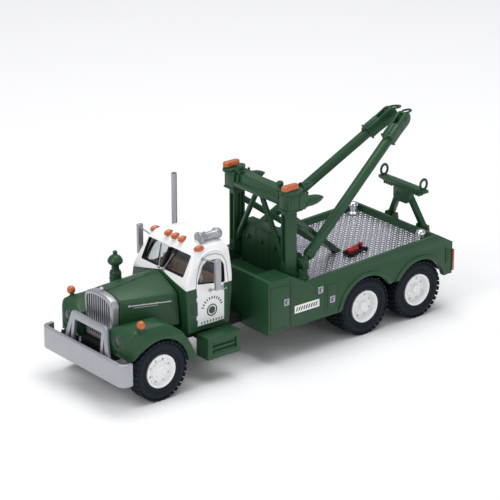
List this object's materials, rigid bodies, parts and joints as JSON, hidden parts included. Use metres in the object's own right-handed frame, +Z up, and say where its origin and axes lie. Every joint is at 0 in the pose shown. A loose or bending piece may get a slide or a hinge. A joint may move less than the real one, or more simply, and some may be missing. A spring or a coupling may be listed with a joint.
{
  "type": "toy tow truck",
  "caption": "Small-scale toy wrecker: bonneted tractor cab, open deck, mast with swinging twin booms, folding rear tow bar and rolling dual wheels.",
  "frame": {"origin": "on the ground, under the middle of the truck's outline", "axes": "+Z up, -Y towards the bumper, +X to the truck's own left side"},
  "size_m": [0.0282, 0.0896, 0.0432],
  "materials": {
    "green_plastic": "satin",
    "white_plastic": "satin",
    "silver_plastic": "satin",
    "deck_silver": "satin",
    "chrome_plating": "polished",
    "orange_plastic": "gloss",
    "red_plastic": "satin",
    "black_plastic": "matte",
    "tan_plastic": "matte",
    "clear_plastic": "polished",
    "axle_steel": "satin",
    "tyre_rubber": "matte"
  },
  "bodies": {
    "chassis": {"chassis_frame": "black_plastic", "bumper": "silver_plastic", "push_guard": "silver_plastic", "radiator": "silver_plastic", "hood": "green_plastic", "front_fender_left": "green_plastic", "front_fender_right": "green_plastic", "air_cleaner": "green_plastic", "cab_shell": "white_plastic", "cab_glazing": "clear_plastic", "cab_interior": "tan_plastic", "roof_marker_1": "orange_plastic", "roof_marker_2": "orange_plastic", "roof_marker_3": "orange_plastic", "roof_marker_4": "orange_plastic", "roof_marker_5": "orange_plastic", "air_horn": "silver_plastic", "mirror_left": "silver_plastic", "mirror_right": "silver_plastic", "step_box_left": "green_plastic", "step_box_right": "green_plastic", "exhaust_stack": "silver_plastic", "wrecker_body": "green_plastic", "deck_plate": "deck_silver", "bollard_left": "chrome_plating", "bollard_right": "chrome_plating", "floor_jack": "red_plastic", "mast_post_left": "green_plastic", "mast_post_right": "green_plastic", "mast_beam": "green_plastic", "mast_brace_left": "green_plastic", "mast_brace_right": "green_plastic", "rear_strut_left": "green_plastic", "rear_strut_right": "green_plastic", "winch_housing": "green_plastic", "light_bracket_left": "green_plastic", "light_bracket_right": "green_plastic", "spot_lamp": "green_plastic", "beacon_left": "orange_plastic", "beacon_right": "orange_plastic"},
    "front_wheelset": {"front_axle": "axle_steel", "front_wheel_left": "white_plastic", "front_wheel_right": "white_plastic", "front_tyre_left": "tyre_rubber", "front_tyre_right": "tyre_rubber"},
    "middle_wheelset": {"middle_axle": "axle_steel", "middle_wheel_left": "white_plastic", "middle_wheel_right": "white_plastic", "middle_tyre_left": "tyre_rubber", "middle_tyre_right": "tyre_rubber"},
    "rear_wheelset": {"rear_axle": "axle_steel", "rear_wheel_left": "white_plastic", "rear_wheel_right": "white_plastic", "rear_tyre_left": "tyre_rubber", "rear_tyre_right": "tyre_rubber"},
    "left_swivel": {"boom_swivel_left": "green_plastic"},
    "left_boom": {"boom_left": "green_plastic"},
    "right_swivel": {"boom_swivel_right": "green_plastic"},
    "right_boom": {"boom_right": "green_plastic"},
    "towing_bar": {"tow_bar": "green_plastic"}
  },
  "joints": [
    {"name": "front_wheels_roll", "type": "hinge", "parent": "chassis", "child": "front_wheelset", "pos_m": [0, -0.0343, 0.0064], "axis": [1, 0, 0], "continuous": true},
    {"name": "middle_wheels_roll", "type": "hinge", "parent": "chassis", "child": "middle_wheelset", "pos_m": [0, 0.0199, 0.0064], "axis": [1, 0, 0], "continuous": true},
    {"name": "rear_wheels_roll", "type": "hinge", "parent": "chassis", "child": "rear_wheelset", "pos_m": [0, 0.0349, 0.0064], "axis": [1, 0, 0], "continuous": true},
    {"name": "left_boom_swing", "type": "hinge", "parent": "chassis", "child": "left_swivel", "pos_m": [0.0095, 0.0054, 0.017], "axis": [0, 0, -1], "range_deg": [0, 65]},
    {"name": "left_boom_tilt", "type": "hinge", "parent": "left_swivel", "child": "left_boom", "pos_m": [0.0095, 0.0054, 0.0188], "axis": [0.9776, 0.2104, 0], "range_deg": [-10, 18]},
    {"name": "right_boom_swing", "type": "hinge", "parent": "chassis", "child": "right_swivel", "pos_m": [-0.0095, 0.0054, 0.017], "axis": [0, 0, 1], "range_deg": [0, 65]},
    {"name": "right_boom_tilt", "type": "hinge", "parent": "right_swivel", "child": "right_boom", "pos_m": [-0.0095, 0.0054, 0.0188], "axis": [0.9776, -0.2104, 0], "range_deg": [-10, 18]},
    {"name": "tow_bar_fold", "type": "hinge", "parent": "chassis", "child": "towing_bar", "pos_m": [0, 0.0434, 0.01675], "axis": [-1, 0, 0], "range_deg": [0, 95]}
  ]
}
